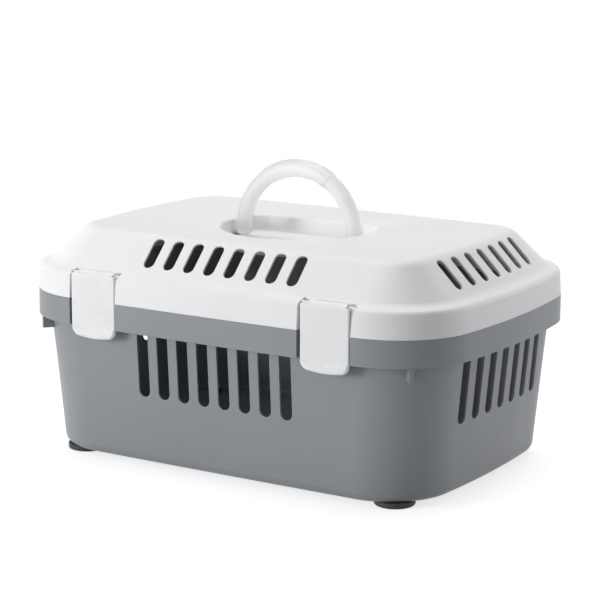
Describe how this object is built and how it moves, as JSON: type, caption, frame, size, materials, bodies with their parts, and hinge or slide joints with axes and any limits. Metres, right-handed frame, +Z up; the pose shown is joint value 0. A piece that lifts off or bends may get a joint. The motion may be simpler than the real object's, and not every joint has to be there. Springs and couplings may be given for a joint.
{
  "type": "pet carrier",
  "caption": "Moulded plastic pet carrier with ventilation slots, a hinged top lid, front latches and a fold-down handle.",
  "frame": {"origin": "middle of the carrier's length and depth, hinges included, on the plane that the feet stand on", "axes": "+X to the right seen from the latches, +Y to the back where the hinges are, +Z up"},
  "size_m": [0.49, 0.3485, 0.2945],
  "materials": {
    "tub_plastic": "fine satin grain, moulded",
    "lid_plastic": "fine satin grain, moulded",
    "handle_plastic": "smooth, slightly milky",
    "latch_plastic": "smooth, slightly milky",
    "foot_rubber": "matt",
    "pin_steel": "drawn wire"
  },
  "bodies": {
    "tub": {"base_tub": "tub_plastic", "hinge_pin_left": "pin_steel", "hinge_pin_right": "pin_steel", "foot_front_left": "foot_rubber", "foot_front_right": "foot_rubber", "foot_back_left": "foot_rubber", "foot_back_right": "foot_rubber"},
    "lid": {"lid": "lid_plastic"},
    "handle": {"carry_handle": "handle_plastic"},
    "latch_left": {"front_latch_left": "latch_plastic"},
    "latch_right": {"front_latch_right": "latch_plastic"}
  },
  "joints": [
    {"name": "lid_hinge", "type": "hinge", "parent": "tub", "child": "lid", "pos_m": [0, 0.16875, 0.165], "axis": [-1, 0, 0], "range_deg": [0, 110]},
    {"name": "handle_fold", "type": "hinge", "parent": "lid", "child": "handle", "pos_m": [0, -0.00625, 0.2213], "axis": [1, 0, 0], "range_deg": [0, 90]},
    {"name": "latch_left_swing", "type": "hinge", "parent": "lid", "child": "latch_left", "pos_m": [-0.131, -0.16348, 0.1893], "axis": [-1, 0, 0], "range_deg": [0, 110]},
    {"name": "latch_right_swing", "type": "hinge", "parent": "lid", "child": "latch_right", "pos_m": [0.131, -0.16348, 0.1893], "axis": [-1, 0, 0], "range_deg": [0, 110]}
  ]
}
